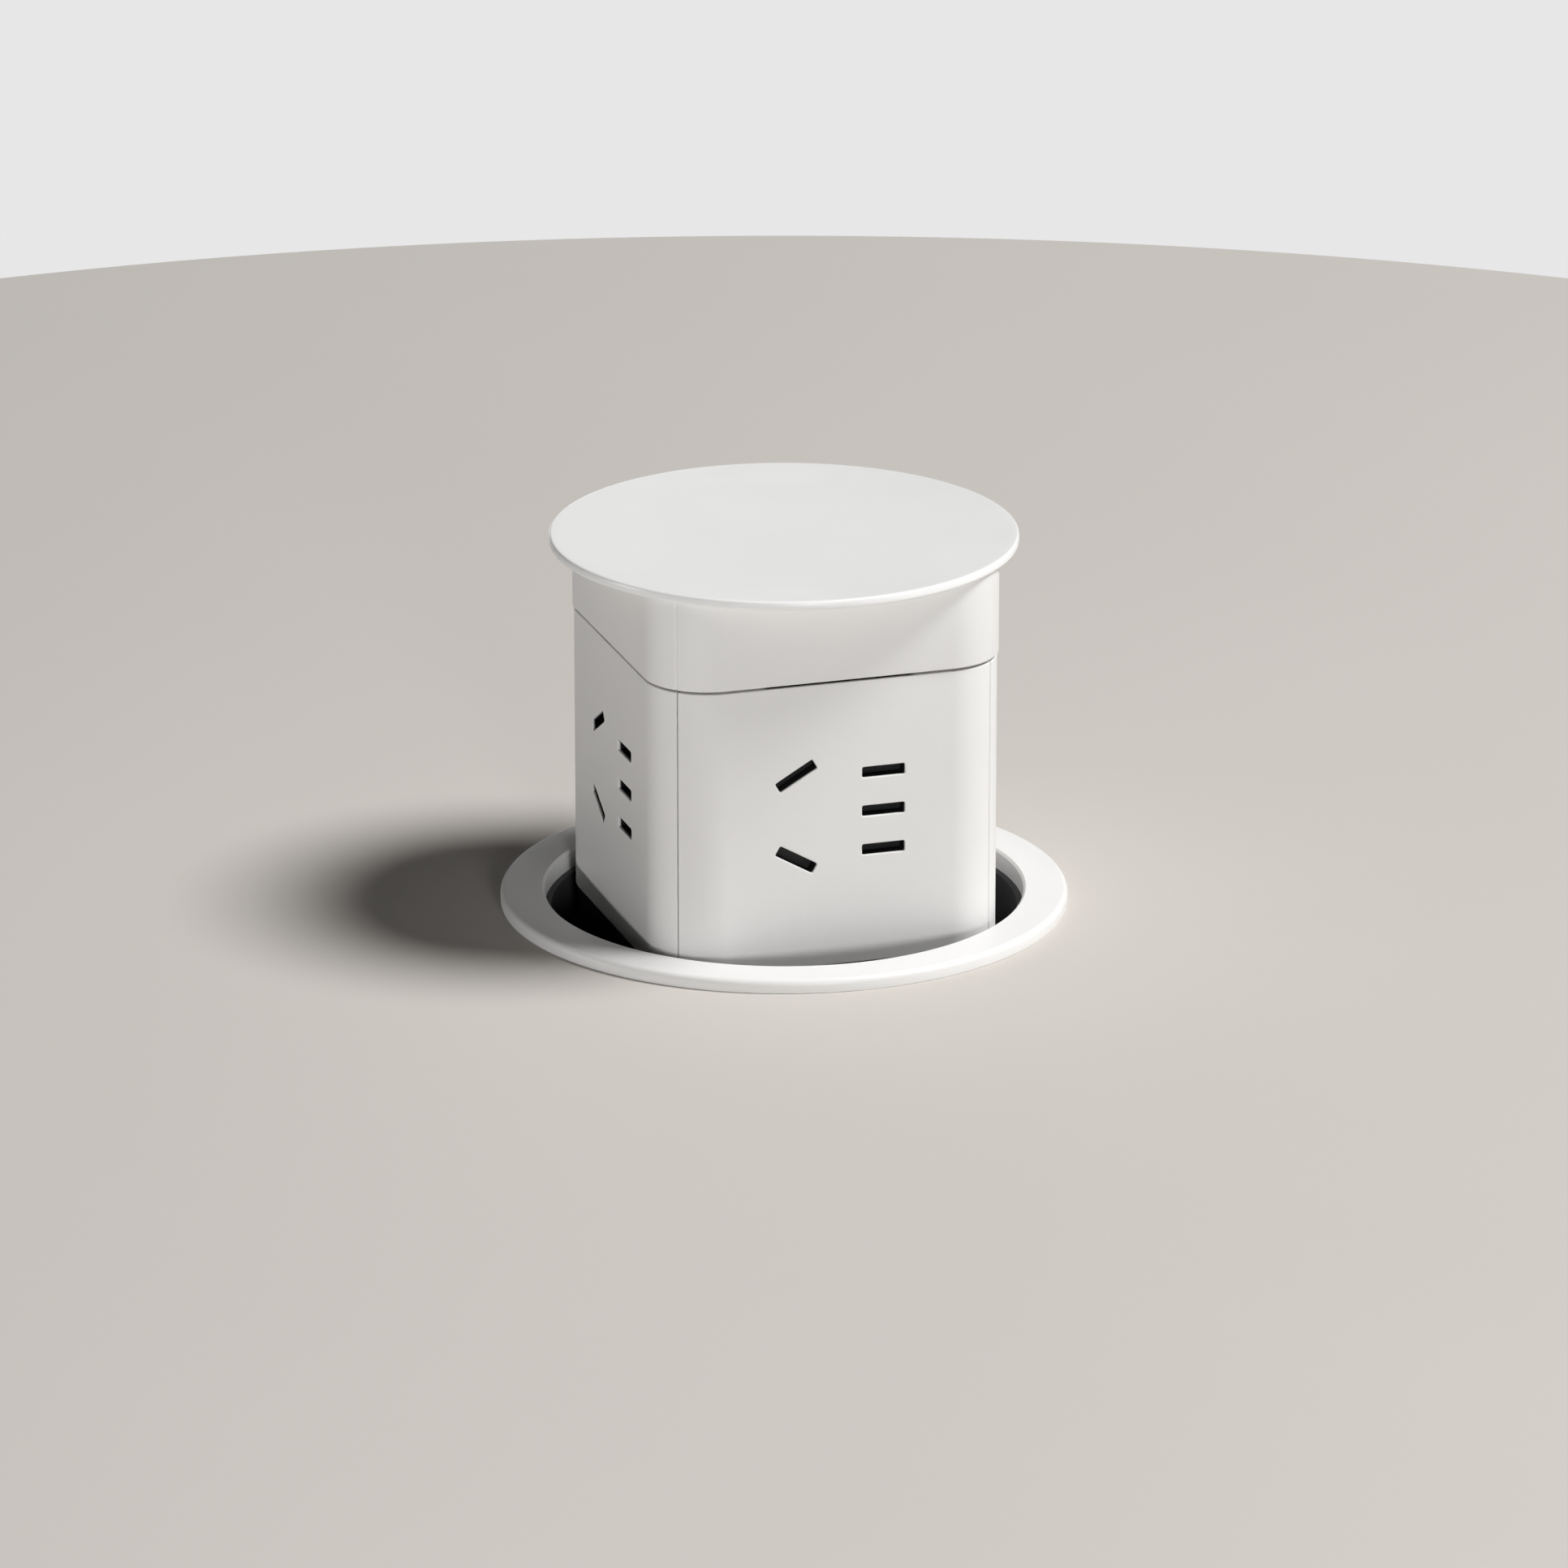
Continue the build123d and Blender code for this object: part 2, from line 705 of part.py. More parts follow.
def contact_clip(across, up, tilt):
    """A spring clip that grips one blade, opening towards the front."""
    outside = blade_thickness / 2 + contact_leaf
    clip = Box(contact_width, contact_depth, 2 * outside)
    clip -= Pos(0, -contact_leaf, 0) * Box(contact_width, contact_depth, blade_thickness)
    return Pos(across, -clip_mouth + contact_depth / 2, up) * Rot(0, -tilt, 0) * clip


def busbar(core):
    level = levels[core]
    low, high = level - busbar_height / 2, level + busbar_height / 2
    bar = rounded_block(busbar_half, busbar_corner, low, high)
    bar -= rounded_block(busbar_half - busbar_thickness, busbar_corner / 2, low, high)
    for across, up, tilt in socket_holes():
        if abs(up - level) < blade_pitch / 2:
            for index in range(4):
                bar += on_face(contact_clip(across, up, tilt), index)
    reach = (busbar_half - tab_overlap, wire_offset + wire_radius)
    tab = block(reach, reach, (level - tab_thickness / 2, level + tab_thickness / 2))
    return bar + Rot(0, 0, 90 * tabs[core]) * tab


def core_wire(core):
    wire = post(wire_radius, carriage_top, levels[core] - tab_thickness / 2, wire_offset, wire_offset)
    return Rot(0, 0, 90 * tabs[core]) * wire


def contact_carrier():
    """A spool with plates between the busbars, clamped between the carriage and the neck."""
    spool = rounded_block(core_half, busbar_thickness, carriage_top, plate_top)
    spool += rounded_block(plate_half, plate_corner, carriage_top, tray_bottom)
    spool += rounded_block(plate_half, plate_corner, tray_top, plate_top)
    for middle in (socket_centre - busbar_level / 2, socket_centre + busbar_level / 2):
        spool += rounded_block(clip_mouth, partition_corner, middle - partition / 2, middle + partition / 2)
    spool -= post(core_half - carrier_wall, carriage_top, plate_top)
    for x, y in four_corners(bolt_offset):
        spool -= post(tie_bolt_radius + screw_fit, carriage_top, plate_top, x, y)
    wire_hole = post(wire_radius + wire_room, carriage_top, tray_top, wire_offset, wire_offset)
    for k in range(3):
        spool -= Rot(0, 0, 90 * k) * wire_hole
    return spool


def terminal_block():
    low = carriage_top - terminal_height
    body = rounded_block(terminal_half, terminal_corner, low, carriage_top)
    body -= post(terminal_hole, low, carriage_top)
    hole = post(small_screw_radius + screw_fit, low, low + terminal_screw_hole, wire_offset, wire_offset)
    for k in range(3):
        body -= Rot(0, 0, 90 * k) * hole
    return body


def terminal_screws():
    low = carriage_top - terminal_height
    screw = post(small_screw_head[0], low - small_screw_head[1], low, wire_offset, wire_offset)
    screw += post(small_screw_radius, low, low + terminal_screw_reach, wire_offset, wire_offset)
    return Compound([Rot(0, 0, 90 * k) * screw for k in range(3)])


def tie_bolts():
    radius, height = tie_bolt_head
    bolts = []
    for x, y in four_corners(bolt_offset):
        head = post(radius, carriage_bottom - height, carriage_bottom, x, y)
        bolts.append(head + post(tie_bolt_radius, carriage_bottom, bolt_top, x, y))
    return Compound(bolts)


def carriage():
    """The black base of the tower, with shoes that straddle the guide rails."""
    outer_corner = body_corner - carriage_inset
    wall = carriage_half - carriage_inner
    box = rounded_block(carriage_half, outer_corner, carriage_bottom, carriage_top)
    box -= rounded_block(carriage_inner, outer_corner - wall, floor_top, carriage_top)
    near = rail_half_width + slide_gap
    far = near + shoe_thickness
    reach = sqrt(bore_radius ** 2 - far ** 2) - 2 * slide_gap
    for side in (-1, 1):
        for end in (-1, 1):
            width = sorted((end * near, end * far))
            depth = sorted((side * (carriage_half - 1), side * reach))
            box += block(depth, width, (shoe_bottom, stop_bottom - slide_gap))
    box -= post(gland_thread_radius + screw_fit, carriage_bottom, floor_top)
    for x, y in four_corners(bolt_offset):
        box -= post(tie_bolt_radius + screw_fit, carriage_bottom, floor_top, x, y)
    for side in (-1, 1):
        box -= along_y(small_screw_radius + screw_fit, carriage_inner, carriage_half - damper_hole_skin,
                       side * damper_ear[0], gear_height)
    shaft_hole = damper_shaft + damper_shaft_room
    return box - along_y(shaft_hole, carriage_inner - 1, carriage_half + 1, 0, gear_height)


# Cable entry


def hexagon(across, low, high):
    return Pos(0, 0, low) * extrude(RegularPolygon(across / 2, 6, major_radius=False), high - low)


def cable_gland():
    hex_bottom = carriage_bottom - gland_hex_height
    body = post(gland_thread_radius, carriage_bottom, gland_top)
    body += hexagon(gland_hex, hex_bottom, carriage_bottom)
    dome = post(dome_radius, hex_bottom - gland_dome, hex_bottom)
    dome = fillet(dome.edges().filter_by(GeomType.CIRCLE).sort_by(Axis.Z)[0], dome_edge)
    return body + dome - post(cable_bore, hex_bottom - gland_dome, gland_top)


def gland_nut():
    nut = hexagon(gland_hex, floor_top, floor_top + gland_nut_height)
    return nut - post(gland_thread_radius + screw_fit, floor_top, gland_top)


nodes = {
    "flange_ring": flange_ring(),
    "flange_gasket": gasket_band(gasket_depth),
    "barrel": barrel(),
    "guide_rails": guide_rails(),
    "stop_blocks": stop_blocks(),
    "end_cap": end_cap(),
    "end_cap_screws": end_cap_screws(),
    "down_stop_pads": down_stop_pads(),
    "lift_spring": lift_spring(),
    "damper_rack": damper_rack(),
    "damper_gear": damper_gear(),
    "damper_body": damper_body(),
    "damper_screws": damper_screws(),
    "latch_housing": latch_housing(),
    "latch_pins": latch_pins(),
    "latch_jaw_right": latch_jaw(1),
    "latch_jaw_left": latch_jaw(-1),
    "striker": striker(),
    "thrust_washer": thrust_washer(),
    "clamp_nut": clamp_nut(),
    "lid": lid(),
    "lid_screws": lid_screws(),
    "neck_cap": neck_cap(),
    "contact_carrier": contact_carrier(),
    "terminal_block": terminal_block(),
    "terminal_screws": terminal_screws(),
    "tie_bolts": tie_bolts(),
    "carriage": carriage(),
    "cable_gland": cable_gland(),
    "gland_nut": gland_nut(),
}
for core in levels:
    nodes[f"{core}_busbar"] = busbar(core)
    nodes[f"{core}_wire"] = core_wire(core)
for index, name in enumerate(faces):
    nodes[f"socket_panel_{name}"] = socket_panel(index)
    nodes[f"shutter_{name}"] = shutter(index)
    nodes[f"shutter_tray_{name}"] = shutter_tray(index)
    nodes[f"shutter_spring_{name}"] = shutter_spring(index)

os.makedirs("parts", exist_ok=True)
for name, shape in nodes.items():
    export_step(shape, f"parts/{name}.step")
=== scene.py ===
import bpy, bmesh, json
from math import asin, cos, degrees, pi, radians, sin
from mathutils import Matrix, Vector


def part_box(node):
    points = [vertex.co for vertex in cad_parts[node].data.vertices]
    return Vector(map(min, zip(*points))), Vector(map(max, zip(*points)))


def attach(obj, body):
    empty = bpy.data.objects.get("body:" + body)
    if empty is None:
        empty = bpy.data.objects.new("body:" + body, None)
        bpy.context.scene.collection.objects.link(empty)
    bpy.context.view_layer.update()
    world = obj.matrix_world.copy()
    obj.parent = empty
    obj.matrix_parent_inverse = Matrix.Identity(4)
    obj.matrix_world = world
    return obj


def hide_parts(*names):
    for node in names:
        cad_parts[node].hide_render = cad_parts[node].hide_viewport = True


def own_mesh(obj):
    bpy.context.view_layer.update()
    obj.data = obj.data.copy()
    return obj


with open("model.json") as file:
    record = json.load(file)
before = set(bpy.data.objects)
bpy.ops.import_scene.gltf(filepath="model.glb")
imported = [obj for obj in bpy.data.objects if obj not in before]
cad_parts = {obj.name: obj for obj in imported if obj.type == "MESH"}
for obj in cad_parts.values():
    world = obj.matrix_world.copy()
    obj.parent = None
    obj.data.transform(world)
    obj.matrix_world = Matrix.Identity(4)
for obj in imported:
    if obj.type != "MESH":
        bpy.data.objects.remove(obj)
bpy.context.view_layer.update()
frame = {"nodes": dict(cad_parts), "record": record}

mm = 0.001
sides = ("front", "right", "back", "left")
print("frame loaded:", len(frame["nodes"]), "nodes")

view = {
    "turn": 17.8,           # degrees that the tower is turned away from the viewer
    "distance": 1.4749,     # level distance to the tower, metres
    "height": 0.5204,
    "aim": (0.0, 0.0, 0.019),
    "lens": 226.0,
    "sensor": 36.0,
    "near": 0.05,
    "far": 20.0,
}

# bearing counts from the viewer's right hand, anticlockwise seen from above; far and size in metres
studio = {
    "key": {"bearing": 0.0, "rise": 55.0, "far": 4.2, "size": 1.58, "power": 212.0},
    "front": {"bearing": -78.0, "rise": 7.5, "far": 1.8, "size": 0.34, "power": 11.2},
    "left": {"bearing": 190.0, "rise": 2.4, "far": 1.6, "size": 0.12, "power": 5.2},
    "back": {"bearing": 95.0, "rise": 6.0, "far": 1.8, "size": 0.35, "power": 0.9},
    "lowRight": {"bearing": -30.0, "rise": -14.0, "far": 1.2, "size": 0.5, "power": 7.0},
    "lowFront": {"bearing": -110.0, "rise": -8.0, "far": 1.3, "size": 0.3, "power": 3.0},
    "lowBack": {"bearing": 110.0, "rise": -12.0, "far": 1.2, "size": 0.5, "power": 5.0},
}
sky = {"seen": (0.80, 0.80, 0.80, 1.0), "shed": (0.004, 0.004, 0.004, 1.0)}


def makeCamera():
    turn = radians(view["turn"])
    place = Vector((-sin(turn) * view["distance"], -cos(turn) * view["distance"], view["height"]))
    data = bpy.data.cameras.new("viewCamera")
    data.lens = view["lens"]
    data.sensor_width = view["sensor"]
    data.clip_start = view["near"]
    data.clip_end = view["far"]
    camera = bpy.data.objects.new("viewCamera", data)
    camera.location = place
    camera.rotation_mode = "QUATERNION"
    camera.rotation_quaternion = (Vector(view["aim"]) - place).to_track_quat("-Z", "Y")
    bpy.context.scene.collection.objects.link(camera)
    bpy.context.scene.camera = camera


def makeLights():
    for name, lamp in studio.items():
        bearing, rise = radians(lamp["bearing"] - view["turn"]), radians(lamp["rise"])
        way = Vector((cos(bearing) * cos(rise), sin(bearing) * cos(rise), sin(rise)))
        data = bpy.data.lights.new(name + "Light", "AREA")
        data.shape = "DISK"
        data.size = lamp["size"]
        data.energy = lamp["power"]
        light = bpy.data.objects.new(name + "Light", data)
        light.rotation_mode = "QUATERNION"
        light.location = way * lamp["far"]
        light.rotation_quaternion = (-way).to_track_quat("-Z", "Y")
        bpy.context.scene.collection.objects.link(light)
    world = bpy.data.worlds.new("studioSky")
    world.use_nodes = True
    tree = world.node_tree
    ray = tree.nodes.new("ShaderNodeLightPath")
    choice = tree.nodes.new("ShaderNodeMix")
    choice.data_type = "RGBA"
    choice.inputs[6].default_value = sky["shed"]
    choice.inputs[7].default_value = sky["seen"]
    tree.links.new(ray.outputs["Is Camera Ray"], choice.inputs[0])
    tree.links.new(choice.outputs[2], tree.nodes["Background"].inputs["Color"])
    bpy.context.scene.world = world
    bpy.context.scene.view_settings.view_transform = "Standard"


makeCamera()
makeLights()
print("camera and lights ready")


class Wire:  # a node's output, so that node maths reads as ordinary sums
    def __init__(self, graph, socket):
        self.graph = graph
        self.socket = socket

    def sum(self, operation, left, right=0.0):
        return self.graph.add("ShaderNodeMath", {"operation": operation}, {0: left, 1: right})

    def maths(self, operation, other=0.0):
        return self.sum(operation, self, other)

    def __add__(self, other):
        return self.sum("ADD", self, other)

    def __radd__(self, other):
        return self.sum("ADD", other, self)

    def __sub__(self, other):
        return self.sum("SUBTRACT", self, other)

    def __rsub__(self, other):
        return self.sum("SUBTRACT", other, self)

    def __mul__(self, other):
        return self.sum("MULTIPLY", self, other)

    def __rmul__(self, other):
        return self.sum("MULTIPLY", other, self)

    def __truediv__(self, other):
        return self.sum("DIVIDE", self, other)


class Graph:  # shared by the finishes and the geometry trees
    def add(self, kind, settings=None, sockets=None, output=0):
        node = self.tree.nodes.new(kind)
        for key, value in (settings or {}).items():
            if key == "stops":
                self.setStops(node.color_ramp, value)
            else:
                setattr(node, key, value)
        for key, value in (sockets or {}).items():
            self.put(node.inputs[key], value)
        return Wire(self, node.outputs[output])

    def put(self, socket, value):
        if isinstance(value, list):
            for wire in value:
                self.put(socket, wire)
        elif isinstance(value, Wire):
            self.tree.links.new(value.socket, socket)
        else:
            socket.default_value = value

    def setStops(self, ramp, stops):
        while len(ramp.elements) < len(stops):
            ramp.elements.new(0.5)
        for element, (place, level) in zip(ramp.elements, stops):
            element.position = place
            element.color = (level, level, level, 1.0)


class Finish(Graph):
    def __init__(self, name):
        self.material = bpy.data.materials.new(name)
        self.material.use_nodes = True
        self.tree = self.material.node_tree
        self.tree.nodes.clear()
        output = self.tree.nodes.new("ShaderNodeOutputMaterial")
        self.shader = self.tree.nodes.new("ShaderNodeBsdfPrincipled")
        self.tree.links.new(self.shader.outputs[0], output.inputs["Surface"])
        self.place = self.add("ShaderNodeTexCoord", output="Object")

    def set(self, **levels):
        for key, value in levels.items():
            self.put(self.shader.inputs[key.replace("_", " ")], value)

    def noise(self, scale, detail=3.0, rough=0.55, bend=0.0, place=None):
        sockets = {"Vector": place or self.place, "Scale": scale, "Detail": detail,
                   "Roughness": rough, "Distortion": bend}
        return self.add("ShaderNodeTexNoise", None, sockets)

    def stretched(self, scale, turn=(0.0, 0.0, 0.0)):
        sockets = {"Vector": self.place, "Rotation": turn, "Scale": scale}
        return self.add("ShaderNodeMapping", None, sockets)

    def ramp(self, value, stops):
        return self.add("ShaderNodeValToRGB", {"stops": stops}, {"Fac": value})

    def mix(self, first, second, share):
        return self.add("ShaderNodeMix", {"data_type": "RGBA"}, {0: share, 6: first, 7: second}, 2)

    def bump(self, height, depth, strength=1.0):
        sockets = {"Height": height, "Distance": depth, "Strength": strength}
        return self.add("ShaderNodeBump", None, sockets)

    def split(self, axis):
        return self.add("ShaderNodeSeparateXYZ", None, {0: self.place}, axis)


def tone(colour, factor=1.0):
    return tuple(min(1.0, level * factor) for level in colour) + (1.0,)


# mottle is the share by which the colour drifts, grain the spark-eroded texture of the mould
plastics = {
    "white_shell": {"colour": (0.80, 0.795, 0.785), "mottle": 0.018, "grain": 2600, "depth": 0.012,
                    "rough": 0.44, "smudge": 0.07, "specular": 0.45},
    # painted light: white_lid is the shell's white made paler, so that the lid's top reads brighter
    "white_lid": {"colour": (0.85, 0.848, 0.842), "mottle": 0.012, "grain": 3400, "depth": 0.006,
                  "rough": 0.36, "smudge": 0.09, "specular": 0.45},
    "dark_barrel": {"colour": (0.052, 0.052, 0.055), "mottle": 0.14, "grain": 1500, "depth": 0.03,
                    "rough": 0.52, "smudge": 0.10, "specular": 0.40},
    "black_plastic": {"colour": (0.016, 0.016, 0.017), "mottle": 0.20, "grain": 1800, "depth": 0.02,
                      "rough": 0.48, "smudge": 0.10, "specular": 0.40},
    "black_nylon": {"colour": (0.022, 0.022, 0.024), "mottle": 0.20, "grain": 1300, "depth": 0.03,
                    "rough": 0.58, "smudge": 0.10, "specular": 0.35},
    "shutter_plastic": {"colour": (0.008, 0.008, 0.009), "mottle": 0.20, "grain": 2000, "depth": 0.01,
                        "rough": 0.42, "smudge": 0.08, "specular": 0.35},
    "core_plastic": {"colour": (0.60, 0.56, 0.46), "mottle": 0.05, "grain": 1600, "depth": 0.015,
                     "rough": 0.40, "smudge": 0.08, "specular": 0.45},
    "gear_plastic": {"colour": (0.78, 0.77, 0.71), "mottle": 0.03, "grain": 2200, "depth": 0.008,
                     "rough": 0.34, "smudge": 0.08, "specular": 0.50},
    "black_foam": {"colour": (0.030, 0.030, 0.031), "mottle": 0.35, "grain": 900, "depth": 0.16,
                   "rough": 0.92, "smudge": 0.05, "specular": 0.15},
    "black_rubber": {"colour": (0.020, 0.020, 0.021), "mottle": 0.25, "grain": 1000, "depth": 0.05,
                     "rough": 0.78, "smudge": 0.10, "specular": 0.25},
    "brown_sleeve": {"colour": (0.10, 0.040, 0.018), "mottle": 0.08, "grain": 1500, "depth": 0.01,
                     "rough": 0.38, "smudge": 0.06, "specular": 0.45},
    "blue_sleeve": {"colour": (0.020, 0.070, 0.32), "mottle": 0.08, "grain": 1500, "depth": 0.01,
                    "rough": 0.38, "smudge": 0.06, "specular": 0.45},
}

metals = {
    "steel": {"colour": (0.62, 0.63, 0.65), "rough": 0.30, "stain": 0.10, "grain": 900, "depth": 0.010},
    "spring_steel": {"colour": (0.46, 0.46, 0.47), "rough": 0.34, "stain": 0.16, "grain": 1400,
                     "depth": 0.012},
    "contact_brass": {"colour": (0.80, 0.58, 0.26), "rough": 0.28, "stain": 0.18, "grain": 1100,
                      "depth": 0.008},
}

# painted shade: the slot walls are painted black inside the white skin, nearer the axis than the skin and
# within reach of a face's middle
slotShade = {"skin": 28.1, "edge": 0.12, "reach": 12.0, "colour": (0.006, 0.006, 0.006, 1.0)}
fadeIn = [(0.0, 0.0), (1.0, 1.0)]


def paintedSlotShade(finish):
    across, along = finish.split("X").maths("ABSOLUTE"), finish.split("Y").maths("ABSOLUTE")
    outer, inner = across.maths("MAXIMUM", along), across.maths("MINIMUM", along)
    depth = (slotShade["skin"] * mm - outer) / (slotShade["edge"] * mm) + 0.5
    near = (slotShade["reach"] * mm - inner) / mm + 0.5
    return finish.ramp(depth, fadeIn) * finish.ramp(near, fadeIn)


# each noise is its scale, detail, roughness and bend
moulding = {"drift": (55.0, 4.0, 0.6), "smears": (38.0, 5.0, 0.65, 1.6),
            "handled": [(0.42, 0.0), (0.70, 1.0)], "level": 0.35, "bite": 0.05, "fine": 0.7, "coarse": 0.3}


def mouldedPlastic(name, look):
    finish = Finish(name)
    paler, darker = tone(look["colour"], 1 + look["mottle"]), tone(look["colour"], 1 - look["mottle"])
    colour = finish.mix(darker, paler, finish.noise(*moulding["drift"]))
    # painted shade: the white shell's slot walls are painted black
    if name == "white_shell":
        colour = finish.mix(colour, slotShade["colour"], paintedSlotShade(finish))
    handled = finish.ramp(finish.noise(*moulding["smears"]), moulding["handled"])
    grain = finish.noise(float(look["grain"]), 2.0, 0.5)
    swell = finish.noise(look["grain"] / 4.0, 2.0, 0.5)
    roughness = look["rough"] + look["smudge"] * (handled - moulding["level"])
    roughness = roughness + moulding["bite"] * (grain - 0.5)
    finish.set(Base_Color=colour, Roughness=roughness, Specular_IOR_Level=look["specular"])
    height = grain * moulding["fine"] + swell * moulding["coarse"]
    finish.set(Normal=finish.bump(height, look["depth"] * mm))
    return finish.material


rolling = {"stains": (130.0, 5.0, 0.6), "stained": [(0.40, 0.0), (0.75, 1.0)], "darken": 2.2,
           "streaks": (3.0, 0.6, 0.0), "stretch": (1.0, 1.0, 0.06), "scuff": 0.12}


def plainMetal(name, look):
    finish = Finish(name)
    stains = finish.ramp(finish.noise(*rolling["stains"]), rolling["stained"])
    stained = tone(look["colour"], 1 - rolling["darken"] * look["stain"])
    colour = finish.mix(tone(look["colour"]), stained, stains)
    streaks = finish.noise(float(look["grain"]), *rolling["streaks"], finish.stretched(rolling["stretch"]))
    roughness = look["rough"] + rolling["scuff"] * (streaks - 0.5) + look["stain"] * stains
    finish.set(Base_Color=colour, Roughness=roughness, Metallic=1.0)
    finish.set(Normal=finish.bump(streaks, look["depth"] * mm))
    return finish.material


# the earth core's sleeve: green stripes on yellow
sleeveLook = {"yellow": (0.62, 0.50, 0.03, 1.0), "green": (0.05, 0.26, 0.05, 1.0), "across": 400.0,
              "along": 90.0, "stripe": [(0.46, 0.0), (0.54, 1.0)], "rough": 0.36, "smudge": 0.1,
              "smudgeScale": 700.0, "grain": 1500.0, "depth": 0.01}


def stripedSleeve(name):
    finish = Finish(name)
    s = sleeveLook
    across = finish.split("X") - finish.split("Y")
    stripe = finish.ramp(across * s["across"] + finish.split("Z") * s["along"] + 0.5, s["stripe"])
    colour = finish.mix(s["yellow"], s["green"], stripe)
    finish.set(Base_Color=colour, Roughness=s["rough"] + s["smudge"] * finish.noise(s["smudgeScale"]))
    finish.set(Normal=finish.bump(finish.noise(s["grain"]), s["depth"] * mm))
    return finish.material


floorLook = {"colour": (0.585, 0.553, 0.517), "mottle": 0.015, "drift": (9.0, 3.0, 0.5), "rough": 0.72,
             "smudge": 0.06, "grain": (600.0, 2.0), "specular": 0.25}


def floorFinish():
    finish = Finish("paleFloor")
    s = floorLook
    paler, darker = tone(s["colour"], 1 + s["mottle"]), tone(s["colour"], 1 - s["mottle"])
    colour = finish.mix(darker, paler, finish.noise(*s["drift"]))
    finish.set(Base_Color=colour, Roughness=s["rough"] + s["smudge"] * finish.noise(*s["grain"]))
    finish.set(Specular_IOR_Level=s["specular"])
    return finish.material


finishes = {name: mouldedPlastic(name, look) for name, look in plastics.items()}
finishes.update({name: plainMetal(name, look) for name, look in metals.items()})
finishes["green_sleeve"] = stripedSleeve("green_sleeve")
slotOf = {row["node"]: row["material_slot"] for row in frame["record"]["subparts"]}
for name, part in frame["nodes"].items():
    if not part.material_slots:
        part.data.materials.append(None)
    for slot in part.material_slots:
        slot.link = "OBJECT"
        slot.material = finishes[slotOf[name]]
print("finishes ready:", len(finishes))


def addPiece(name, mesh):
    piece = bpy.data.objects.new(name, mesh)
    bpy.context.scene.collection.objects.link(piece)
    return piece


def settle(piece, body, *nodes):
    # hands a finished piece to the body that it moves with, in place of its plain nodes
    slot = slotOf[nodes[0]]
    piece.data.materials.clear()
    piece.data.materials.append(finishes[slot])
    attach(piece, body)
    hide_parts(*nodes)
    return piece


def softPath(points, steps=5):
    # a closed outline from (across, up, radius) corners, each corner turned into an arc
    path = []
    count = len(points)
    for k, (x, y, radius) in enumerate(points):
        here = Vector((x, y))
        before = Vector(points[k - 1][:2]) - here
        after = Vector(points[(k + 1) % count][:2]) - here
        if radius == 0:
            path.append((x, y))
            continue
        half = before.angle(after) / 2
        reach = radius / (sin(half) / cos(half))
        inward = (before.normalized() + after.normalized()).normalized()
        centre = here + inward * (radius / sin(half))
        start = here + before.normalized() * reach - centre
        turn = start.angle_signed(here + after.normalized() * reach - centre)
        for step in range(steps + 1):
            spoke = start.copy()
            spoke.rotate(Matrix.Rotation(-turn * step / steps, 2))
            path.append(tuple(centre + spoke))
    return path


def meshFrom(name, points, faces):
    mesh = bpy.data.meshes.new(name)
    mesh.from_pydata(points, [], faces)
    tidy = bmesh.new()
    tidy.from_mesh(mesh)
    bmesh.ops.remove_doubles(tidy, verts=tidy.verts, dist=1e-7)
    bmesh.ops.recalc_face_normals(tidy, faces=tidy.faces)
    tidy.to_mesh(mesh)
    tidy.free()
    return mesh


def smoothMesh(mesh, limit=32.0):
    mesh.polygons.foreach_set("use_smooth", [True] * len(mesh.polygons))
    mesh.set_sharp_from_angle(angle=radians(limit))
    return mesh


def loopShell(name, loops, wrap=True):
    # skins a stack of loops that have the same number of points
    count = len(loops[0])
    points = [point for loop in loops for point in loop]
    faces = []
    pairs = list(zip(range(len(loops)), range(1, len(loops))))
    if wrap:
        pairs.append((len(loops) - 1, 0))
    for low, high in pairs:
        for k in range(count):
            after = (k + 1) % count
            faces.append((low * count + k, low * count + after, high * count + after, high * count + k))
    if not wrap:
        faces.append(tuple(range(count)))
        faces.append(tuple((len(loops) - 1) * count + k for k in range(count)))
    return meshFrom(name, points, faces)


def lathe(name, outline, steps=180, wrap=True):
    # outline is (radius, height) in millimetres: a closed path, or with wrap off a path from a bottom rim
    # to a top rim that is closed with flat faces
    loops = []
    for radius, height in outline:
        turns = [2 * pi * k / steps for k in range(steps)]
        loops.append([(radius * cos(turn) * mm, radius * sin(turn) * mm, height * mm) for turn in turns])
    return loopShell(name, loops, wrap)


def soften(piece, width, limit, segments=3):
    edges = piece.modifiers.new("edges", "BEVEL")
    edges.width = width * mm
    edges.segments = segments
    edges.limit_method = "ANGLE"
    edges.angle_limit = radians(limit)
    return edges


def carve(piece, tool):
    cut = piece.modifiers.new("cut", "BOOLEAN")
    cut.operation = "DIFFERENCE"
    cut.solver = "EXACT"
    cut.object = tool
    return cut


def applied(piece):
    # bakes a piece's modifiers into a plain mesh
    bpy.context.view_layer.update()
    depsgraph = bpy.context.evaluated_depsgraph_get()
    result = bpy.data.meshes.new_from_object(piece.evaluated_get(depsgraph))
    name = piece.name
    bpy.data.objects.remove(piece)
    result.name = name
    return result


# the flange: a flat ring with a rolled outer edge, a chamfered recess and a short wall down to the barrel
flangeSizes = {"outer": 45.0, "recess": 38.0, "top": 2.2, "seat": 39.5, "drop": 1.0, "edge": 0.9,
               "chamfer": 0.4, "gasketIn": 41.3, "gasketOut": 43.7, "gasketDepth": 0.6, "sharp": 0.05,
               "foot": 0.06, "underEdge": 0.15, "chamferEdge": 0.12, "steps": 224}


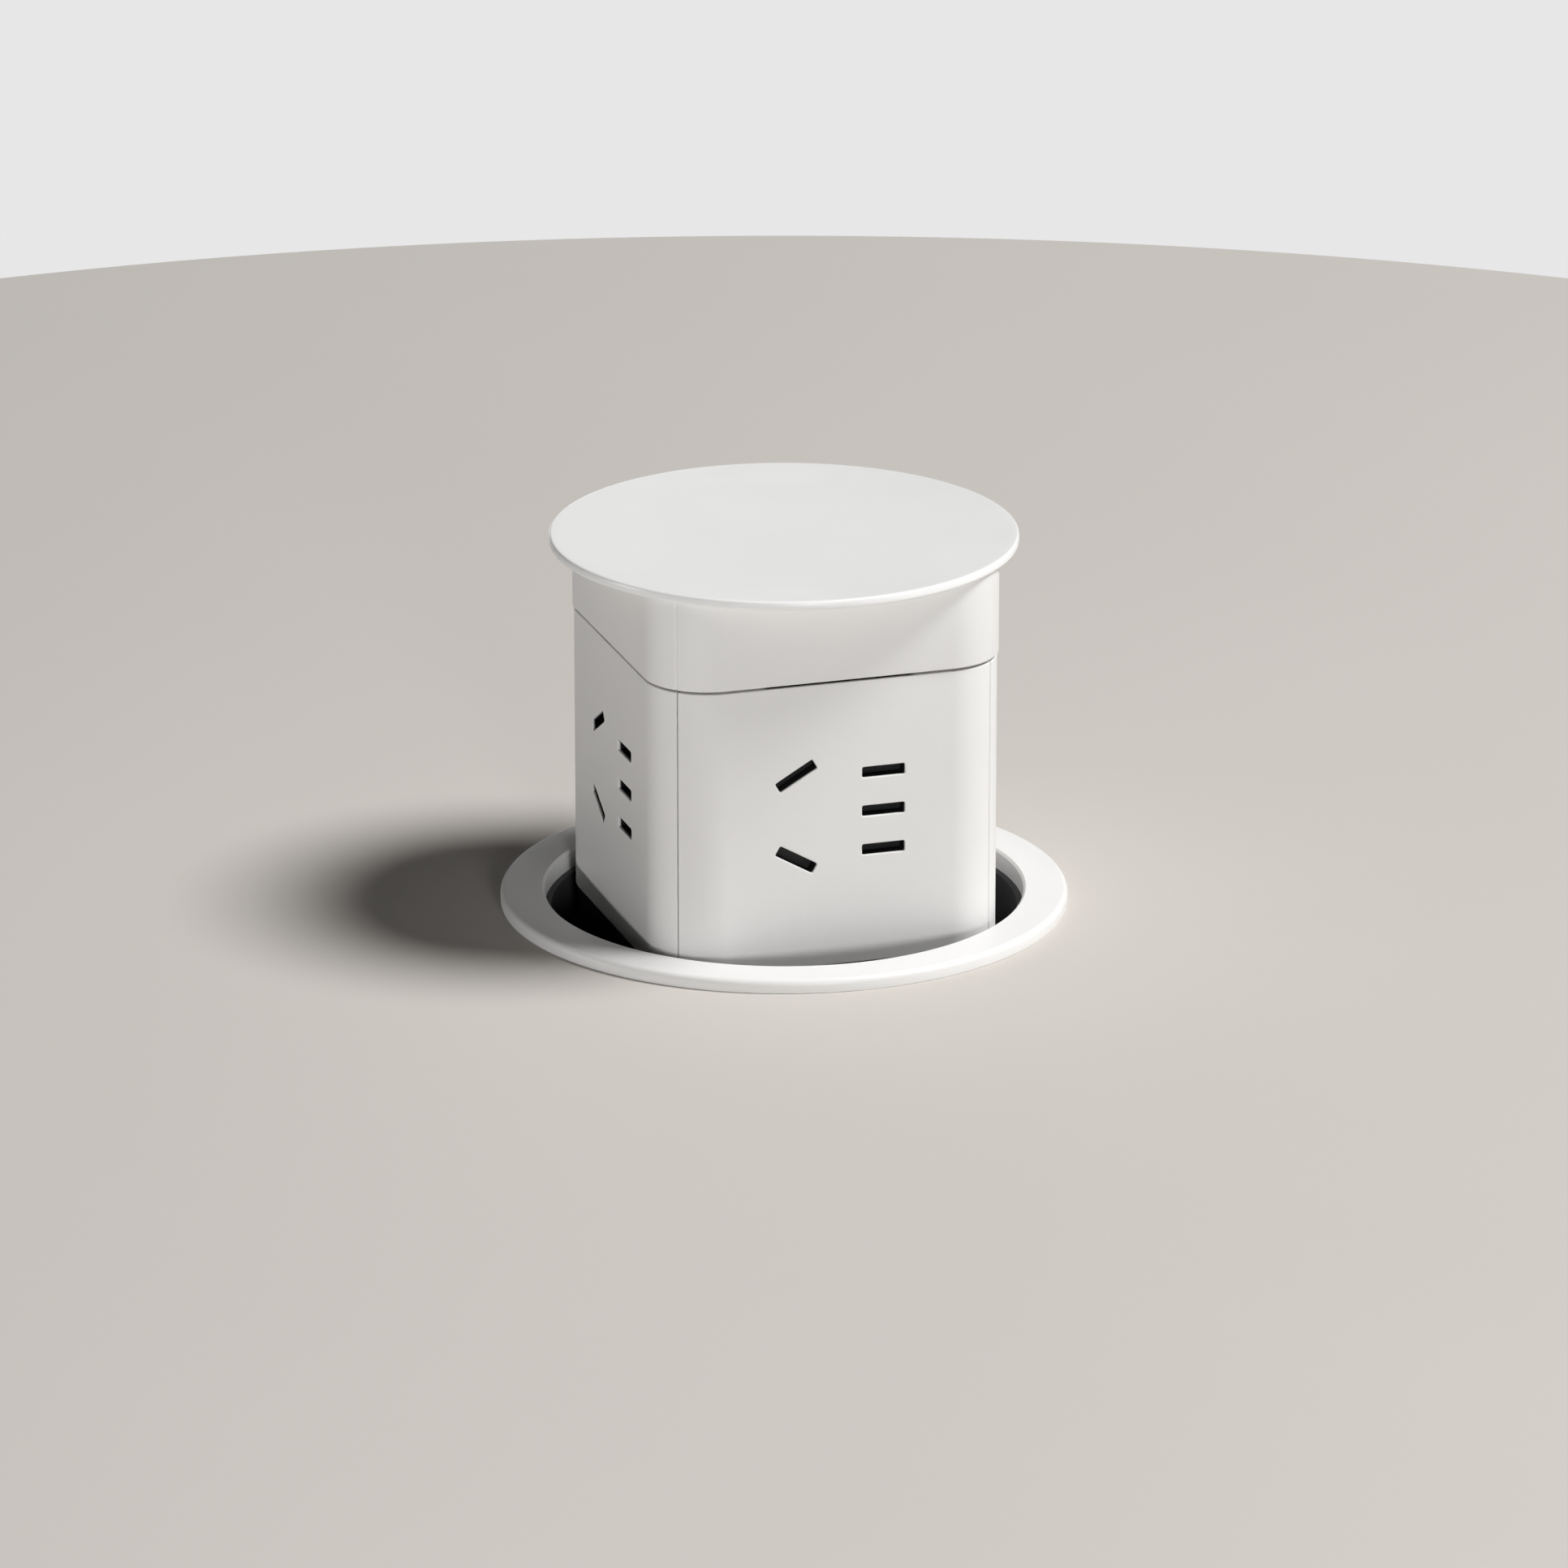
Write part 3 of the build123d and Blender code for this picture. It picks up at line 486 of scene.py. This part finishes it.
def makeFlange():
    s = flangeSizes
    outline = softPath([
        (s["recess"], -s["drop"], s["foot"]), (s["seat"], -s["drop"], s["foot"]),
        (s["seat"], 0.0, s["sharp"]), (s["gasketIn"], 0.0, s["sharp"]),
        (s["gasketIn"], s["gasketDepth"], s["sharp"]), (s["gasketOut"], s["gasketDepth"], s["sharp"]),
        (s["gasketOut"], 0.0, s["sharp"]), (s["outer"], 0.0, s["underEdge"]),
        (s["outer"], s["top"], s["edge"]), (s["recess"] + s["chamfer"], s["top"], s["chamferEdge"]),
        (s["recess"], s["top"] - s["chamfer"], s["chamferEdge"]),
    ])
    ring = addPiece("flangeRing", smoothMesh(lathe("flangeRing", outline, s["steps"])))
    settle(ring, "base", "flange_ring")


# the lid: a thin plate with a fine rolled edge over the neck
lidSizes = {"radius": 36.9, "top": 61.0, "thick": 1.5, "edge": 0.42, "middle": 0.35, "band": 1.2,
            "arc": 6, "steps": 224, "limit": 50.0}


def makeLid():
    s = lidSizes
    low = s["top"] - s["thick"]
    inner = s["middle"] * s["radius"]
    rim = s["radius"] - s["edge"]
    outline = [(inner, low), (rim, low)]
    for k in range(1, 2 * s["arc"] + 1):
        angle = radians(-90 + 90 * k / s["arc"])
        centre = low + s["edge"] if k <= s["arc"] else s["top"] - s["edge"]
        outline.append((rim + s["edge"] * cos(angle), centre + s["edge"] * sin(angle)))
    outline += [(s["radius"] - s["band"], s["top"]), (inner, s["top"])]
    mesh = smoothMesh(lathe("lidPlate", outline, s["steps"], wrap=False), s["limit"])
    settle(addPiece("lidPlate", mesh), "tower", "lid")


# the neck: the closed band under the lid, and the skirt that locates the panels
neckSizes = {"half": 28.776, "corner": 10.25, "low": 45.2, "high": 59.5, "skirtHalf": 26.026,
             "skirtCorner": 7.5, "skirtLow": 42.15, "skirtWall": 2.0, "edge": 0.28, "edgeSteps": 5,
             "notch": 0.16, "notchAngle": 1.8, "notchCurve": 1.5, "notchRoom": 1.3, "arc": 24, "limit": 34.0}


def squareLoop(half, corner, height, notch=0.0):
    # a rounded square seen from above, with a fine V notch in the middle of each corner
    s = neckSizes
    loop = []
    middle = half - corner
    wide = s["notchAngle"]
    fine = [45.0 + wide * k for k in (-1.0, -0.75, -0.25, 0.0, 0.25, 0.75, 1.0)]
    coarse = [k * 90.0 / s["arc"] for k in range(s["arc"] + 1)]
    angles = sorted([a for a in coarse if abs(a - 45.0) > wide * s["notchRoom"]] + fine)
    for quarter, (right, far) in enumerate([(1, 1), (-1, 1), (-1, -1), (1, -1)]):
        for angle in angles:
            radius = corner - notch * max(0.0, 1 - abs((angle - 45.0) / wide) ** s["notchCurve"])
            turned = radians(angle + 90.0 * quarter)
            x, y = middle * right + radius * cos(turned), middle * far + radius * sin(turned)
            loop.append((x * mm, y * mm, height * mm))
    return loop


def makeNeck():
    s = neckSizes
    loops = []
    for k in range(s["edgeSteps"] + 1):
        angle = radians(90 / s["edgeSteps"] * k)
        inset = s["edge"] * (1 - sin(angle))
        height = s["low"] + s["edge"] * (1 - cos(angle))
        loops.append(squareLoop(s["half"] - inset, s["corner"] - inset, height, s["notch"]))
    loops.append(squareLoop(s["half"], s["corner"], s["high"], s["notch"]))
    for wall, height in [(s["skirtWall"], s["high"]), (s["skirtWall"], s["skirtLow"]),
                         (0.0, s["skirtLow"]), (0.0, s["low"])]:
        loops.append(squareLoop(s["skirtHalf"] - wall, s["skirtCorner"] - wall, height))
    settle(addPiece("neckCap", smoothMesh(loopShell("neckCap", loops), s["limit"])), "tower", "neck_cap")


# one socket panel: half a corner, the flat face and half a corner, with five slots
panelSizes = {"half": 28.526, "corner": 10.0, "wall": 2.2, "low": -1.5, "high": 44.8, "gap": 0.2,
              "edge": 0.26, "limit": 35, "arc": 14, "centre": 23.35, "column": 7.135, "pitch": 6.35,
              "slantPitch": 6.86, "tilt": 30.0, "slotLong": 7.0, "slotHigh": 1.75, "slotCorner": 0.3,
              "slotSteps": 4, "cutOut": 2, "cutIn": 1}


def panelOutline():
    s = panelSizes
    middle = s["half"] - s["corner"]
    path = []
    for corner, way in ((s["corner"], 1), (s["corner"] - s["wall"], -1)):
        trim = degrees(asin(s["gap"] / 2 / corner))
        sweep = [(45 - trim) * k / s["arc"] for k in range(s["arc"] + 1)]
        turns = [(-middle, 225 + trim + a) for a in sweep] + [(middle, 270 + a) for a in sweep]
        arc = [(x + corner * cos(radians(a)), -middle + corner * sin(radians(a))) for x, a in turns]
        path += arc[::way]
    return path


def slotOutline():
    s = panelSizes
    long, high, corner = s["slotLong"] / 2, s["slotHigh"] / 2, s["slotCorner"]
    spots = ((-long, -high), (long, -high), (long, high), (-long, high))
    return softPath([(x, y, corner) for x, y in spots], s["slotSteps"])


def slotPlaces():
    s = panelSizes
    column = [(s["column"], s["centre"] + k * s["pitch"], 0.0) for k in (-1, 0, 1)]
    return column + [(-s["column"], s["centre"] + k * s["slantPitch"], k * s["tilt"]) for k in (-1, 1)]


def slotCutters():
    s = panelSizes
    cutters = bmesh.new()
    for across, up, tilt in slotPlaces():
        turn = Matrix.Rotation(radians(tilt), 2)
        ring = [turn @ Vector(point) for point in slotOutline()]
        ends = []
        for depth in (-s["half"] - s["cutOut"], -s["half"] + s["wall"] + s["cutIn"]):
            ends.append([cutters.verts.new(((across + p.x) * mm, depth * mm, (up + p.y) * mm)) for p in ring])
        cutters.faces.new(ends[0])
        cutters.faces.new(ends[1])
        for k in range(len(ring)):
            after = (k + 1) % len(ring)
            cutters.faces.new((ends[0][k], ends[0][after], ends[1][after], ends[1][k]))
    bmesh.ops.recalc_face_normals(cutters, faces=cutters.faces)
    mesh = bpy.data.meshes.new("slotCutters")
    cutters.to_mesh(mesh)
    cutters.free()
    return addPiece("slotCutters", mesh)


def makePanels():
    s = panelSizes
    outline = panelOutline()
    loops = [[(x * mm, y * mm, z * mm) for x, y in outline] for z in (s["low"], s["high"])]
    blank = addPiece("panelBlank", loopShell("panelBlank", loops, wrap=False))
    cutter = slotCutters()
    carve(blank, cutter)
    soften(blank, s["edge"], s["limit"]).harden_normals = True
    blank.data.polygons.foreach_set("use_smooth", [True] * len(blank.data.polygons))
    mesh = applied(blank)
    bpy.data.objects.remove(cutter)
    for index, side in enumerate(sides):
        copy = mesh.copy()
        copy.transform(Matrix.Rotation(radians(90 * index), 4, "Z"))
        panel = addPiece("socketPanel_" + side, copy)
        settle(panel, "tower", "socket_panel_" + side)


class Shape(Graph):  # a geometry tree with named inputs
    def __init__(self, name, inputs):
        self.tree = bpy.data.node_groups.new(name, "GeometryNodeTree")
        face = self.tree.interface
        face.new_socket(name="Geometry", in_out="INPUT", socket_type="NodeSocketGeometry")
        face.new_socket(name="Geometry", in_out="OUTPUT", socket_type="NodeSocketGeometry")
        self.identifiers = {}
        for label, kind in {**inputs, "Finish": "Material"}.items():
            socket = face.new_socket(name=label, in_out="INPUT", socket_type="NodeSocket" + kind)
            self.identifiers[label] = socket.identifier
        self.entry = self.tree.nodes.new("NodeGroupInput")
        self.exit = self.tree.nodes.new("NodeGroupOutput")

    def given(self, label):
        return Wire(self, self.entry.outputs[label])

    def vector(self, x, y, z):
        return self.add("ShaderNodeCombineXYZ", None, {0: x, 1: y, 2: z})

    def end(self, geometry):
        whole = self.add("GeometryNodeRealizeInstances", None, {0: geometry})
        sockets = {"Geometry": whole, "Material": self.given("Finish")}
        self.put(self.exit.inputs[0], self.add("GeometryNodeSetMaterial", None, sockets))

    def bake(self, name, base, finish, values):
        holder = addPiece(name, base)
        modifier = holder.modifiers.new("shape", "NODES")
        modifier.node_group = self.tree
        for label, value in {**values, "Finish": finish}.items():
            modifier[self.identifiers[label]] = value
        return applied(holder)


def emptyMesh(points=()):
    mesh = bpy.data.meshes.new("places")
    mesh.from_pydata(list(points), [], [])
    return mesh


def helixPath(shape, resolution):
    # a helix from a tree's Turns, Height and Radius
    radius = shape.given("Radius")
    return shape.add("GeometryNodeCurveSpiral", None, {
        "Resolution": resolution, "Rotations": shape.given("Turns"), "Start Radius": radius,
        "End Radius": radius, "Height": shape.given("Height")})


def sweep(shape, path, profile):
    sockets = {"Curve": path, "Profile Curve": profile, "Fill Caps": True}
    return shape.add("GeometryNodeCurveToMesh", None, sockets)


# sizes in metres
springs = {
    "lift": {"Turns": 8.0, "Height": 0.0724, "Radius": 0.0135, "Wire": 0.0008, "Bottom": -0.0997},
    "shutter": {"Turns": 6.0, "Height": 0.0061, "Radius": 0.0011, "Wire": 0.0002, "Bottom": 0.00405},
}


def springShape():
    labels = ("Turns", "Height", "Radius", "Wire", "Across", "Depth", "Bottom")
    shape = Shape("coilSpring", {label: "Float" for label in labels})
    sockets = {"Resolution": 12, "Radius": shape.given("Wire")}
    wire = shape.add("GeometryNodeCurvePrimitiveCircle", None, sockets)
    coil = sweep(shape, helixPath(shape, 40), wire)
    lift = shape.vector(shape.given("Across"), shape.given("Depth"), shape.given("Bottom"))
    shape.end(shape.add("GeometryNodeTransform", None, {"Geometry": coil, "Translation": lift}))
    return shape


def makeSpring(shape, name, node, body, kind):
    low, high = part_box(node)
    middle = (low + high) / 2
    x, y = (0.0, 0.0) if kind == "lift" else middle.xy
    values = {**springs[kind], "Across": x, "Depth": y}
    mesh = smoothMesh(shape.bake(name, emptyMesh(), finishes["spring_steel"], values), 60.0)
    spring = settle(addPiece(name, mesh), body, node)
    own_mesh(spring)


def makeSprings():
    shape = springShape()
    makeSpring(shape, "liftSpring", "lift_spring", "base", "lift")
    for side in sides:
        node, joint = "shutter_spring_" + side, "shutter_" + side + "_slide"
        makeSpring(shape, "shutterSpring_" + side, node, "tower", "shutter")


# the barrel: a plain seat under the flange, then a coarse thread for the clamp nut
barrelSizes = {"seat": 39.5, "seatLow": -16.0, "thread": 39.0, "root": 38.2, "bore": 37.0, "top": -1.0,
               "low": -100.5, "seatEdge": 0.3, "rootEdge": 0.1, "slack": 0.1, "steps": 192, "pitch": 3.0,
               "crest": 0.9, "base": 2.2, "sunk": 0.05, "runOut": 2.0, "threadRoom": 1.0, "limit": 30.0}


def threadShape():
    labels = ("Turns", "Height", "Radius", "Depth", "Crest", "Base", "Bottom")
    shape = Shape("barrelThread", {label: "Float" for label in labels})
    upright = shape.add("GeometryNodeSetCurveNormal", {"mode": "Z_UP"}, {"Curve": helixPath(shape, 96)})
    ridge = shape.add("GeometryNodeCurvePrimitiveQuadrilateral", {"mode": "TRAPEZOID"}, {
        "Height": shape.given("Depth"), "Bottom Width": shape.given("Base"),
        "Top Width": shape.given("Crest"), "Offset": 0.0})
    turned = shape.add("GeometryNodeTransform", None, {"Geometry": ridge, "Rotation": (0.0, 0.0, -pi / 2)})
    lift = shape.vector(0.0, 0.0, shape.given("Bottom"))
    sockets = {"Geometry": sweep(shape, upright, turned), "Translation": lift}
    shape.end(shape.add("GeometryNodeTransform", None, sockets))
    return shape


def makeBarrel():
    s = barrelSizes
    foot, end = s["thread"] - s["slack"], s["low"] + s["runOut"]
    outline = softPath([
        (s["bore"], s["top"], 0.0), (s["seat"], s["top"], 0.0), (s["seat"], s["seatLow"], s["seatEdge"]),
        (s["root"], s["seatLow"], s["rootEdge"]), (s["root"], end, s["rootEdge"]),
        (foot, end, s["rootEdge"]), (foot, s["low"], s["seatEdge"]), (s["bore"], s["low"], 0.0),
    ], 3)
    settle(addPiece("barrelTube", smoothMesh(lathe("barrelTube", outline, s["steps"]))), "base", "barrel")
    length = s["seatLow"] - s["low"] - s["runOut"] - s["base"] - s["threadRoom"]
    values = {"Turns": length / s["pitch"], "Height": length * mm,
              "Radius": (s["root"] + s["thread"]) / 2 * mm - s["sunk"] * mm,
              "Depth": (s["thread"] - s["root"]) * mm, "Crest": s["crest"] * mm, "Base": s["base"] * mm,
              "Bottom": (s["low"] + s["runOut"] + s["base"] / 2 + s["threadRoom"] / 2) * mm}
    mesh = threadShape().bake("barrelThread", emptyMesh(), finishes["dark_barrel"], values)
    thread = addPiece("barrelThread", smoothMesh(mesh, s["limit"]))
    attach(thread, "base")


# the clamp nut: a flanged ring with grip ribs, instanced round it
nutSizes = {"bore": 39.3, "outer": 46.5, "low": -39.5, "high": -27.5, "boreEdge": 0.5, "edge": 0.6,
            "ribs": 12, "rib": 49.0, "ribHalf": 3.0, "ribRoot": 1.5, "ribCorner": 1.1, "ribEdge": 0.4,
            "ribFoot": 0.05, "ribDrop": 1.0, "limit": 40.0}


def nutRib():
    s = nutSizes
    root = s["outer"] - s["ribRoot"]
    plan = softPath([(root, -s["ribHalf"], 0.0), (s["rib"], -s["ribHalf"], s["ribCorner"]),
                     (s["rib"], s["ribHalf"], s["ribCorner"]), (root, s["ribHalf"], 0.0)], 6)
    heights = (s["low"] + s["ribFoot"], s["high"] - s["ribDrop"])
    loops = [[(x * mm, y * mm, z * mm) for x, y in plan] for z in heights]
    rib = addPiece("nutRib", loopShell("nutRib", loops, wrap=False))
    soften(rib, s["ribEdge"], s["limit"])
    return addPiece("nutRib", smoothMesh(applied(rib), s["limit"]))


def ringShape():
    shape = Shape("ribRing", {"Count": "Int", "Rib": "Object"})
    spots = shape.add("GeometryNodePoints", None, {"Count": shape.given("Count")})
    number = shape.add("GeometryNodeInputIndex")
    turn = shape.vector(0.0, 0.0, number * (2 * pi) / shape.given("Count"))
    rib = shape.add("GeometryNodeObjectInfo", None, {"Object": shape.given("Rib")}, "Geometry")
    sockets = {"Points": spots, "Instance": rib, "Rotation": turn}
    ribs = shape.add("GeometryNodeInstanceOnPoints", None, sockets)
    shape.end(shape.add("GeometryNodeJoinGeometry", None, {0: [shape.given("Geometry"), ribs]}))
    return shape


washerSizes = {"bore": 39.8, "boreEdge": 0.25, "edge": 0.3}


def ringOutline(low, high, outer, s):
    return softPath([(s["bore"], low, s["boreEdge"]), (outer, low, s["edge"]), (outer, high, s["edge"]),
                     (s["bore"], high, s["boreEdge"])], 4)


def makeNut():
    s = nutSizes
    body = smoothMesh(lathe("clampNut", ringOutline(s["low"], s["high"], s["outer"], s)))
    rib = nutRib()
    mesh = ringShape().bake("clampNut", body, finishes["black_nylon"], {"Count": s["ribs"], "Rib": rib})
    bpy.data.objects.remove(rib)
    settle(addPiece("clampNut", mesh), "nut", "clamp_nut")


def makeWasher():
    low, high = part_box("thrust_washer")
    outline = ringOutline(low.z / mm, high.z / mm, high.x / mm, washerSizes)
    settle(addPiece("thrustWasher", smoothMesh(lathe("thrustWasher", outline))), "washer", "thrust_washer")


# screws: one cross-head screw, instanced on the places of each set; shares of the head's radius and height
screwSizes = {"profile": [(1.0, 0.0), (1.0, 0.4), (0.94, 0.7), (0.8, 0.9), (0.6, 1.0)], "headSteps": 36,
              "shankSteps": 20, "shankGap": 0.01, "crossLong": 1.1, "crossWide": 0.22, "crossDeep": 1.1,
              "limit": 35.0, "firstTurn": 0.3, "nextTurn": 0.9}


def screwPiece(head, tall, shank, long):
    s = screwSizes
    profile = [(head * out, tall * up) for out, up in s["profile"]]
    shaft = [(shank, -long), (shank, -s["shankGap"])]
    screw = bmesh.new()
    screw.from_mesh(lathe("head", profile, s["headSteps"], wrap=False))
    screw.from_mesh(lathe("shank", shaft, s["shankSteps"], wrap=False))
    mesh = bpy.data.meshes.new("screw")
    screw.to_mesh(mesh)
    screw.free()
    piece = addPiece("screw", mesh)
    bars = bmesh.new()
    for turn in (0, 90):
        spin = Matrix.Rotation(radians(turn), 4, "Z") @ Matrix.Translation((0, 0, tall * mm))
        size = Matrix.Diagonal((head * s["crossLong"] * mm, head * s["crossWide"] * mm,
                                tall * s["crossDeep"] * mm, 1.0))
        bmesh.ops.create_cube(bars, size=1.0, matrix=spin @ size)
    cross = bpy.data.meshes.new("cross")
    bars.to_mesh(cross)
    bars.free()
    tool = addPiece("cross", cross)
    carve(piece, tool).use_self = True
    done = addPiece("screw", smoothMesh(applied(piece), s["limit"]))
    bpy.data.objects.remove(tool)
    return done


def screwShape():
    shape = Shape("screwSet", {"Screw": "Object", "Tilt": "Vector"})
    screw = shape.add("GeometryNodeObjectInfo", None, {"Object": shape.given("Screw")}, "Geometry")
    spots = shape.add("GeometryNodeMeshToPoints", None, {"Mesh": shape.given("Geometry")})
    number = shape.add("GeometryNodeInputIndex")
    spin = shape.vector(0.0, 0.0, number * screwSizes["nextTurn"] + screwSizes["firstTurn"])
    sockets = {"Points": spots, "Instance": screw, "Rotation": spin}
    placed = shape.add("GeometryNodeInstanceOnPoints", None, sockets)
    sockets = {"Instances": placed, "Rotation": shape.given("Tilt"), "Local Space": True}
    shape.end(shape.add("GeometryNodeRotateInstances", None, sockets))
    return shape


# each set's node, body, head radius and height, then shank radius and length; every head points down
screwSets = {
    "endCapScrews": {"node": "end_cap_screws", "body": "base", "head": (2.3, 1.5), "shank": (1.1, 12.0)},
    "tieBolts": {"node": "tie_bolts", "body": "tower", "head": (3.2, 2.4), "shank": (1.75, 77.8)},
    "terminalScrews": {"node": "terminal_screws", "body": "tower", "head": (2.3, 1.5), "shank": (1.2, 5.5)},
    "lidScrews": {"node": "lid_screws", "body": "tower", "head": (3.8, 1.5), "shank": (1.1, 2.6)},
}


def solidCentres(node):
    # the middles of the separate solids in one node
    copy = bmesh.new()
    copy.from_mesh(frame["nodes"][node].data)
    bmesh.ops.remove_doubles(copy, verts=copy.verts, dist=1e-6)
    left, centres = set(copy.verts), []
    while left:
        island, edge = set(), [left.pop()]
        while edge:
            vert = edge.pop()
            island.add(vert)
            for link in vert.link_edges:
                other = link.other_vert(vert)
                if other in left:
                    left.discard(other)
                    edge.append(other)
        lows = [min(v.co[k] for v in island) for k in range(3)]
        highs = [max(v.co[k] for v in island) for k in range(3)]
        centres.append(((lows[0] + highs[0]) / 2, (lows[1] + highs[1]) / 2, (lows[2] + highs[2]) / 2))
    copy.free()
    return sorted(centres)


def makeScrews():
    shape = screwShape()
    for name, s in screwSets.items():
        screw = screwPiece(*s["head"], *s["shank"])
        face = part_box(s["node"])[0].z + s["head"][1] * mm
        places = [(x, y, face) for x, y, z in solidCentres(s["node"])]
        values = {"Screw": screw, "Tilt": (pi, 0.0, 0.0)}
        mesh = shape.bake(name, emptyMesh(places), finishes["steel"], values)
        bpy.data.objects.remove(screw)
        settle(addPiece(name, mesh), s["body"], s["node"])


# the floor: a plain round top with the hole that the barrel sits in
floorSizes = {"radius": 391.0, "hole": 40.0, "thick": 1.5, "edge": 0.5, "steps": 256}


def makeFloor():
    s = floorSizes
    outline = softPath([(s["hole"], -s["thick"], 0.0), (s["radius"], -s["thick"], s["edge"]),
                        (s["radius"], 0.0, s["edge"]), (s["hole"], 0.0, 0.0)], 3)
    floor = addPiece("paleFloor", smoothMesh(lathe("paleFloor", outline, s["steps"])))
    floor.data.materials.append(floorFinish())


makeFloor()
makeFlange()
makeLid()
makeNeck()
makePanels()
print("tower shell and flange ready")
makeSprings()
makeBarrel()
makeNut()
makeWasher()
makeScrews()
print("under-desk pieces ready")
